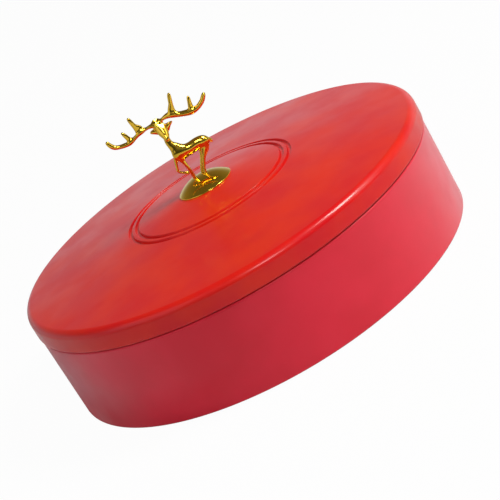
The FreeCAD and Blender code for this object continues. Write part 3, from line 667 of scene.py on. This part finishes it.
def smooth_chain(stations, steps=5):
    """A Catmull-Rom curve through the rows: each span is a cubic whose slopes are half the step
    between the stations on either side. Its end is drawn back by its own half size, so that the
    round cap ends where the last station stands."""
    rows = np.array(stations) * TRUNK_LENGTH
    rows = np.vstack([2 * rows[0] - rows[1], rows, 2 * rows[-1] - rows[-2]])
    t = np.linspace(0, 1, steps, endpoint=False)[:, None]
    spans = []
    for index in range(1, len(rows) - 2):
        a, b, c, d = rows[index - 1:index + 3]
        spans.append(0.5 * (2 * b + (c - a) * t + (2 * a - 5 * b + 4 * c - d) * t ** 2
                            + (3 * b - a - 3 * c + d) * t ** 3))
    chain = np.vstack([*spans, rows[-2:-1]])
    chain[:, 2] += LID_SEAT
    chain[:, 3:] = np.maximum(chain[:, 3:], THINNEST)
    reach = chain[-1, 3:].min()
    tip = chain[-1].copy()
    back = np.linalg.norm(chain[:, :3] - tip[:3], axis=1)
    chain = chain[back > reach + TIP_GAP]
    last = tip[:3] - chain[-1, :3]
    tip[:3] -= last / np.linalg.norm(last) * reach
    return np.vstack([chain, tip])


# %% the field of distances
CELL = 0.22
FIELD_LOW = np.array([-39.5, -7.0, 83.6])
FIELD_COUNT = (308, 64, 254)
NEAR = 2.2


def field_axes():
    """The places of the grid's layers along x, y and z."""
    return [FIELD_LOW[axis] + CELL * np.arange(FIELD_COUNT[axis]) for axis in range(3)]


def block_of(low, high):
    """The part of the grid between two corners."""
    parts = []
    for axis in range(3):
        start = int(max(0, math.floor((low[axis] - FIELD_LOW[axis]) / CELL)))
        stop = int(min(FIELD_COUNT[axis], math.ceil((high[axis] - FIELD_LOW[axis]) / CELL) + 1))
        parts.append(slice(start, max(start, stop)))
    return tuple(parts)


def limb_field(stations):
    """Distance to one limb, worked out no further than NEAR from it. For each short piece of the
    chain, a point is measured in the piece's own frame, divided by the oval's half sizes to k0 and
    by their squares to k1, and lies about k0 (k0 - 1) / k1 from the oval."""
    axes = field_axes()
    field = np.full(FIELD_COUNT, NEAR, np.float32)
    chain = smooth_chain(stations)
    for a, b in zip(chain[:-1], chain[1:]):
        span = b[:3] - a[:3]
        length = np.linalg.norm(span)
        along = span / length
        through = np.array([0.0, 1.0, 0.0]) - along * along[1]
        through /= np.linalg.norm(through)
        sideways = np.cross(through, along)
        reach = max(a[3:].max(), b[3:].max()) + NEAR
        block = block_of(np.minimum(a[:3], b[:3]) - reach, np.maximum(a[:3], b[:3]) + reach)
        x, y, z = np.meshgrid(*[axes[axis][block[axis]] - a[axis] for axis in range(3)],
                              indexing="ij", sparse=True)
        beside = x * along[0] + y * along[1] + z * along[2]
        share = np.clip(beside / length, 0, 1)
        beyond = beside - share * length
        across = x * sideways[0] + y * sideways[1] + z * sideways[2]
        deep = x * through[0] + y * through[1] + z * through[2]
        half_across = a[3] + (b[3] - a[3]) * share
        half_deep = a[4] + (b[4] - a[4]) * share
        cap = np.minimum(half_across, half_deep)
        k0 = np.sqrt((across / half_across) ** 2 + (deep / half_deep) ** 2 + (beyond / cap) ** 2)
        k1 = np.sqrt((across / half_across ** 2) ** 2 + (deep / half_deep ** 2) ** 2
                     + (beyond / cap ** 2) ** 2)
        distance = k0 * (k0 - 1) / np.maximum(k1, TINY)
        distance = np.where(k1 < 100 * TINY, -cap, distance)
        field[block] = np.minimum(field[block], distance)
    return field


def blend_fields(first, second, reach):
    """The smaller of two distances, lowered by h h reach / 4 where they are alike, with
    h = (reach - difference) / reach: this makes a fillet."""
    alike = np.maximum(reach - np.abs(first - second), 0) / reach
    return np.minimum(first, second) - alike * alike * reach / 4


def bead_field(center, radius):
    """Distance to a small ball: the length to its centre less its radius."""
    x, y, z = np.meshgrid(*[axis - place for axis, place in zip(field_axes(), center)],
                          indexing="ij", sparse=True)
    return np.minimum(np.sqrt(x ** 2 + y ** 2 + z ** 2) - radius, NEAR).astype(np.float32)


def cut_facet(field, lean, depth):
    """A flat ground on a limb: the plane with this normal that lies a depth inside the limb's
    furthest point that way. A point in front of the plane is outside."""
    lean = np.array(lean) / np.linalg.norm(lean)
    x, y, z = np.meshgrid(*field_axes(), indexing="ij", sparse=True)
    ahead = x * lean[0] + y * lean[1] + z * lean[2]
    return np.maximum(field, (ahead - ahead[field < 0].max() + depth).astype(np.float32))


# %% [markdown]
# ## The whole casting
# Each limb comes with the reach of its fillet, and each bead with its place, in millimetres. The
# hooves are cut a little inside the dome's ball, so that no gap shows between them and the dome.

# %% the whole casting
HEAD_REACH = 1.2
LIMBS = [
    (NECK, 1.8),
    (LEFT_EAR, 0.5),
    (RIGHT_EAR, 0.5),
    (LEFT_BEAM, 1.0),
    (LEFT_INNER_TINE, 1.4),
    (LEFT_OUTER_TINE, 1.4),
    (RIGHT_BEAM, 1.0),
    (RIGHT_INNER_TINE, 1.4),
    (RIGHT_OUTER_TINE, 1.4),
    (STANDING_FORELEG, 1.0),
    (RAISED_FORELEG, 0.7),
    (NEAR_HIND_LEG, 1.2),
    (FAR_HIND_LEG, 1.0),
    (TAIL, 0.6),
]
RIGHT_CHEEK = (0.384, -0.723, 0.574)
LEFT_CHEEK = (-0.44, -0.72, 0.50)
BELLY_BEADS = [(-0.6, -0.9, 100.4), (2.0, -0.9, 100.4), (5.3, -0.9, 100.9)]
BEAD_RADIUS = 0.8
BEAD_REACH = 0.5
HOOF_SINK = 0.15
DOME_RADIUS = 17.0
DOME_HEIGHT = 6.9
DOME_RIM = 0.7
DOME_RISE = DOME_HEIGHT - DOME_RIM
DOME_BALL = (DOME_RADIUS ** 2 + DOME_RISE ** 2) / (2 * DOME_RISE)
DOME_MIDDLE = LID_SEAT + DOME_HEIGHT - DOME_BALL


def deer_field():
    """All limbs blended, each with the reach of its own fillet, the whole smoothed by one soft
    step, and the hooves cut to the dome's ball, a little way into it."""
    head = cut_facet(limb_field(HEAD), RIGHT_CHEEK, depth=1.4)
    head = cut_facet(head, LEFT_CHEEK, depth=0.7)
    field = blend_fields(limb_field(TRUNK), head, HEAD_REACH)
    for stations, reach in LIMBS:
        field = blend_fields(field, limb_field(stations), reach)
    for center in BELLY_BEADS:
        field = blend_fields(field, bead_field(center, BEAD_RADIUS), BEAD_REACH)
    x, y, z = np.meshgrid(*field_axes(), indexing="ij", sparse=True)
    ball = (DOME_BALL - HOOF_SINK) - np.sqrt(x ** 2 + y ** 2 + (z - DOME_MIDDLE) ** 2)
    for axis in range(3):
        field = (np.roll(field, 1, axis) + 2 * field + np.roll(field, -1, axis)) / 4
    return np.maximum(field, ball)


# %% from field to surface
def sample_field(field, places):
    """The field between grid points, as a mean of the eight around weighted by nearness."""
    local = (places - FIELD_LOW) / CELL
    low = np.clip(np.floor(local).astype(int), 0, np.array(FIELD_COUNT) - 2)
    part = local - low
    total = 0
    for corner in range(8):
        step = np.array([corner & 1, corner >> 1 & 1, corner >> 2 & 1])
        weight = np.prod(np.where(step, part, 1 - part), axis=1)
        value = field[low[:, 0] + step[0], low[:, 1] + step[1], low[:, 2] + step[2]]
        total = total + (weight[:, None] * value if value.ndim > 1 else weight * value)
    return total


def net_surface(field):
    """One point in each cell that the surface crosses, at the mean of the crossings on its edges,
    and one four-sided face round each crossed edge."""
    inside = field < 0
    cell_shape = np.array(field.shape) - 1
    crossings = []
    rounds = []
    for axis in range(3):
        low = [slice(None)] * 3
        high = [slice(None)] * 3
        low[axis] = slice(0, -1)
        high[axis] = slice(1, None)
        hit = np.argwhere(inside[tuple(low)] != inside[tuple(high)])
        other = hit.copy()
        other[:, axis] += 1
        first = field[tuple(hit.T)]
        second = field[tuple(other.T)]
        place = hit.astype(float)
        place[:, axis] += first / (first - second)
        left, up = (axis + 1) % 3, (axis + 2) % 3
        cells = []
        for across, above in ((-1, -1), (0, -1), (0, 0), (-1, 0)):
            cell = hit.copy()
            cell[:, left] += across
            cell[:, up] += above
            number = (cell[:, 0] * cell_shape[1] + cell[:, 1]) * cell_shape[2] + cell[:, 2]
            cells.append(number)
            crossings.append((number, place))
        ring = np.stack(cells, axis=1)
        outward = first < 0
        rounds.append(np.where(outward[:, None], ring, ring[:, ::-1]))
    numbers, places = [np.concatenate(column) for column in zip(*crossings)]
    used, back = np.unique(numbers, return_inverse=True)
    count = np.bincount(back)
    sums = [np.bincount(back, weights=places[:, axis]) for axis in range(3)]
    points = np.stack(sums, axis=1) / count[:, None]
    faces = np.searchsorted(used, np.concatenate(rounds))
    return FIELD_LOW + points * CELL, faces


LEAST_STEEPNESS = 0.2


def make_deer_surface():
    """The net with its normals, each point slid along the field's slope g on to the surface, by
    value / |g| ** 2 times g."""
    field = deer_field()
    slope = np.stack(np.gradient(field, CELL), axis=3)
    points, faces = net_surface(field)
    for _ in range(3):
        value = sample_field(field, points)
        lean = sample_field(slope, points)
        steepness = np.maximum((lean ** 2).sum(axis=1), LEAST_STEEPNESS)
        points = points - (value / steepness)[:, None] * lean
    lean = sample_field(slope, points)
    normals = lean / np.linalg.norm(lean, axis=1)[:, None]
    return points, faces, normals


points, faces, normals = make_deer_surface()
print("deer spans", points.min(axis=0).round(2), points.max(axis=0).round(2))
deer = add_piece("deer_casting", points, faces.tolist(), normals, "lid", gold)
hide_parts("deer_figure")


# %% [markdown]
# ## The dome under the deer
# The dome is the cap of a ball on a low upright rim, hollow below, with a boss in the middle that
# is bored for the screw. It is turned like the lid, but its long curves are given as many short
# steps. The rim's small round gives the dome its one bright point of light.

# %% the dome's section
DOME_WALL = 1.8
DOME_BOSS = 4.6
DOME_BORE = 2.05
BORE_TOP = LID_SEAT + 5.7


def arc_corners(radius, middle, start, stop, steps):
    """Points on a circle about the axis at a height, from one angle to another, with no round."""
    angles = np.linspace(start, stop, steps)
    return [(radius * math.cos(angle), middle + radius * math.sin(angle), 0.0) for angle in angles]


def dome_section():
    """From the top of the screw's bore: bore, boss, hollow, rim, and the cap's arc up to the crown.
    Each row is radius, height, round."""
    inner = DOME_BALL - DOME_WALL
    drop = LID_SEAT - DOME_MIDDLE
    boss_turn = math.acos(DOME_BOSS / inner)
    foot_turn = math.asin(drop / inner)
    rim_turn = math.asin((drop + DOME_RIM) / DOME_BALL)
    hollow = arc_corners(inner, DOME_MIDDLE, boss_turn, foot_turn, steps=24)
    cap = arc_corners(DOME_BALL, DOME_MIDDLE, rim_turn, math.pi / 2, steps=64)
    return [
        (0.0, BORE_TOP, 0.0),
        (DOME_BORE, BORE_TOP, 0.2),
        (DOME_BORE, LID_SEAT, 0.1),
        (DOME_BOSS, LID_SEAT, 0.2),
        (DOME_BOSS, hollow[0][1], 0.3),
        *hollow[1:-1],
        (hollow[-1][0], LID_SEAT, 0.2),
        (DOME_RADIUS, LID_SEAT, 0.1),
        (DOME_RADIUS, LID_SEAT + DOME_RIM, 0.5),
        *cap[2:-1],
        (0.0, cap[-1][1], 0.0),
    ]


points, faces, normals = turn_section(dome_section(), segments=360, closed=False)
dome = add_piece("dome_casting", points, faces, normals, "lid", gold)
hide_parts("knob_base")


# %% [markdown]
# ## Finishes of the measured parts
# The trays, the screw, its washer and the pads are hidden or plain, so they stay as they were
# measured and only get their finishes.

# %% materials on the measured parts that stay
SLOT_MATERIAL = {"steel": steel, "pad_rubber": rubber, "tray_red": tray_red, "gold_cast": gold,
                 "base_red": base_red, "lid_red": lid_red}
for row in frame["record"]["subparts"]:
    node = frame["nodes"][row["node"]]
    for place in range(len(node.data.materials)):
        node.data.materials[place] = SLOT_MATERIAL[row["material_slot"]]
    if not node.data.materials:
        node.data.materials.append(SLOT_MATERIAL[row["material_slot"]])
print("finishes on", len(frame["nodes"]), "measured parts")


# %% [markdown]
# ## Floor, lights and camera
# A wide pale floor runs under the box. To the camera it is white paper that keeps a faint shadow,
# and in reflections it is partly so. Behind the box stands a backdrop, pale and cool low down and
# dim and warm higher up, so that the lid is pinker at the back and nearer orange in front. On the
# viewer's side is a dim room: it keeps the red full and gives polished gold its deep browns. Of the
# lamps, the small strong one on the right draws the points of light and the shadow, the one in
# front lights the wall, and a wide faint one fills the left.

# %% how much of the white a ray sees
def white_share(tree, camera_part, mirror_part):
    """One part for the camera's rays, and another for rays that come from gloss or through glass:
    camera ray times camera part, plus the larger of the other two times mirror part."""
    path = tree.nodes.new("ShaderNodeLightPath").outputs
    mirrored = add_math(tree, "MAXIMUM", path["Is Glossy Ray"], path["Is Transmission Ray"])
    mirrored = add_math(tree, "MULTIPLY", mirrored, mirror_part)
    return add_math(tree, "MULTIPLY_ADD", path["Is Camera Ray"], camera_part, mirrored)


# %% the floor
def paper_material():
    """White to the camera, partly so in reflections, and a pale sheet to the light that bounces."""
    material = bpy.data.materials.new("white_paper")
    material.use_nodes = True
    tree = material.node_tree
    tree.nodes.clear()
    out = tree.nodes.new("ShaderNodeOutputMaterial")
    diffuse = tree.nodes.new("ShaderNodeBsdfDiffuse")
    diffuse.inputs["Color"].default_value = (0.58, 0.58, 0.59, 1.0)
    glow = tree.nodes.new("ShaderNodeEmission")
    glow.inputs["Color"].default_value = (1.0, 1.0, 1.0, 1.0)
    glow.inputs["Strength"].default_value = 1.0
    mix = tree.nodes.new("ShaderNodeMixShader")
    white = white_share(tree, camera_part=0.97, mirror_part=0.24)
    tree.links.new(white, mix.inputs[0])
    tree.links.new(diffuse.outputs[0], mix.inputs[1])
    tree.links.new(glow.outputs[0], mix.inputs[2])
    tree.links.new(mix.outputs[0], out.inputs["Surface"])
    return material


def add_floor(radius, segments=96):
    """A flat disc: rings of points round one in the middle."""
    angles = np.arange(segments) * FULL_TURN / segments
    rings = np.array([0.02, 0.1, 0.4, 1.0]) * radius
    ring = np.stack([np.cos(angles), np.sin(angles), 0 * angles], axis=1)
    points = np.vstack([(ring[None] * rings[:, None, None]).reshape(-1, 3), [[0, 0, 0]]])
    row = np.arange(len(rings) - 1)[:, None]
    column = np.arange(segments)[None, :]
    there = (column + 1) % segments
    quads = np.stack([row * segments + column, (row + 1) * segments + column,
                      (row + 1) * segments + there, row * segments + there], axis=2)
    middle = np.full(segments, len(points) - 1)
    fan = np.stack([middle, column[0], there[0]], axis=1)
    mesh = bpy.data.meshes.new("floor")
    mesh.from_pydata(points.tolist(), [], quads.reshape(-1, 4).tolist() + fan.tolist())
    floor = bpy.data.objects.new("floor", mesh)
    bpy.context.scene.collection.objects.link(floor)
    floor.data.materials.append(paper_material())


add_floor(radius=4.0)


# %% the world
BACKDROP = [
    (0.0, 0.74, 0.78, 0.84),
    (0.12, 0.56, 0.60, 0.65),
    (0.34, 0.28, 0.28, 0.28),
    (0.50, 0.22, 0.18, 0.10),
    (0.85, 0.12, 0.10, 0.07),
]
ROOM = [
    (0.0, 0.03, 0.03, 0.03),
    (0.20, 0.05, 0.05, 0.05),
    (0.45, 0.24, 0.24, 0.24),
    (0.65, 0.16, 0.16, 0.16),
    (0.90, 0.11, 0.11, 0.11),
]


def height_ramp(tree, height, stops):
    """A colour by the height of the direction, through stops of height, red, green and blue."""
    ramp = tree.nodes.new("ShaderNodeValToRGB")
    steps = ramp.color_ramp.elements
    steps.remove(steps[1])
    for number, (place, red, green, blue) in enumerate(stops):
        step = steps[0] if number == 0 else steps.new(place)
        step.color = (red, green, blue, 1.0)
    tree.links.new(height, ramp.inputs["Fac"])
    return ramp.outputs["Color"]


def make_world():
    """A backdrop behind the box, brightest low down, and a dim room with a paler middle height on
    the viewer's side. The direction along y decides between the two, and the camera sees white."""
    world = bpy.data.worlds.new("studio")
    world.use_nodes = True
    tree = world.node_tree
    back = tree.nodes["Background"]
    place = tree.nodes.new("ShaderNodeTexCoord")
    split = tree.nodes.new("ShaderNodeSeparateXYZ")
    tree.links.new(place.outputs["Generated"], split.inputs[0])
    mix = tree.nodes.new("ShaderNodeMix")
    mix.data_type = "RGBA"
    behind = add_range(tree, split.outputs["Y"], 0.0, 1.0, start=-0.25, end=0.2)
    tree.links.new(behind, mix.inputs["Factor"])
    tree.links.new(height_ramp(tree, split.outputs["Z"], ROOM), mix.inputs["A"])
    tree.links.new(height_ramp(tree, split.outputs["Z"], BACKDROP), mix.inputs["B"])
    white = tree.nodes.new("ShaderNodeMix")
    white.data_type = "RGBA"
    white.inputs["B"].default_value = (1.0, 1.0, 1.0, 1.0)
    share = white_share(tree, camera_part=1.0, mirror_part=0.02)
    tree.links.new(share, white.inputs["Factor"])
    tree.links.new(mix.outputs["Result"], white.inputs["A"])
    tree.links.new(white.outputs["Result"], back.inputs["Color"])
    back.inputs["Strength"].default_value = 1.0
    bpy.context.scene.world = world


make_world()


# %% the lamps
def add_lamp(name, direction, distance, size, watts, color):
    """A square soft lamp that looks at the middle of the box from a direction."""
    lamp = bpy.data.lights.new(name, "AREA")
    lamp.shape = "SQUARE"
    lamp.size = size
    lamp.energy = watts
    lamp.color = color
    item = bpy.data.objects.new(name, lamp)
    bpy.context.scene.collection.objects.link(item)
    back = np.array(direction) / np.linalg.norm(direction)
    right = np.cross([0.0, 0.0, 1.0], back)
    right = right / np.linalg.norm(right)
    matrix = np.eye(4)
    matrix[:3, 0] = right
    matrix[:3, 1] = np.cross(back, right)
    matrix[:3, 2] = back
    matrix[:3, 3] = np.array([0.0, 0.0, 60.0 * MM]) + back * distance
    item.matrix_world = Matrix(matrix.tolist())


WARM = (1.0, 0.96, 0.92)
add_lamp("key_right", (0.62, -0.25, 0.745), distance=1.3, size=0.38, watts=14.0, color=WARM)
add_lamp("low_right", (0.85, -0.30, 0.43), distance=1.3, size=0.4, watts=1.2, color=WARM)
add_lamp("fill_front", (0.10, -0.75, 0.65), distance=1.4, size=0.32, watts=4.2,
         color=(1.0, 0.97, 0.96))
add_lamp("fill_left", (-0.78, -0.40, 0.50), distance=1.6, size=1.3, watts=4.2,
         color=(0.82, 0.82, 1.0))


# %% the camera
CAMERA_RISE = 0.3279
CAMERA_ROLL = -0.5353
CAMERA_YAW = 0.0026
CAMERA_PITCH = -0.0088
CAMERA_DISTANCE = 1083.1727 * MM
CAMERA_TARGET = (0.0, 0.0, 40.6 * MM)


def add_camera():
    """The camera of the photograph: its distance, height, turn and lens, worked out from the box.
    It looks at the target from its rise, is swung by yaw and pitch, and is then rolled."""
    right = np.array([1.0, 0.0, 0.0])
    back = np.array([0.0, -math.cos(CAMERA_RISE), math.sin(CAMERA_RISE)])
    up = np.cross(back, right)
    eye = np.array(CAMERA_TARGET) + back * CAMERA_DISTANCE
    ahead = -back
    yaw, pitch, roll = CAMERA_YAW, CAMERA_PITCH, CAMERA_ROLL
    right, ahead = (right * math.cos(yaw) - ahead * math.sin(yaw),
                    right * math.sin(yaw) + ahead * math.cos(yaw))
    up, ahead = (up * math.cos(pitch) - ahead * math.sin(pitch),
                 up * math.sin(pitch) + ahead * math.cos(pitch))
    matrix = np.eye(4)
    matrix[:3, 0] = right * math.cos(roll) + up * math.sin(roll)
    matrix[:3, 1] = up * math.cos(roll) - right * math.sin(roll)
    matrix[:3, 2] = -ahead
    matrix[:3, 3] = eye
    camera = bpy.data.cameras.new("camera")
    camera.sensor_width = 36.0
    camera.sensor_fit = "HORIZONTAL"
    camera.lens = 131.565
    camera.clip_end = 20.0
    item = bpy.data.objects.new("camera", camera)
    bpy.context.scene.collection.objects.link(item)
    item.matrix_world = Matrix(matrix.tolist())
    bpy.context.scene.camera = item


add_camera()
bpy.context.scene.view_settings.view_transform = "Standard"
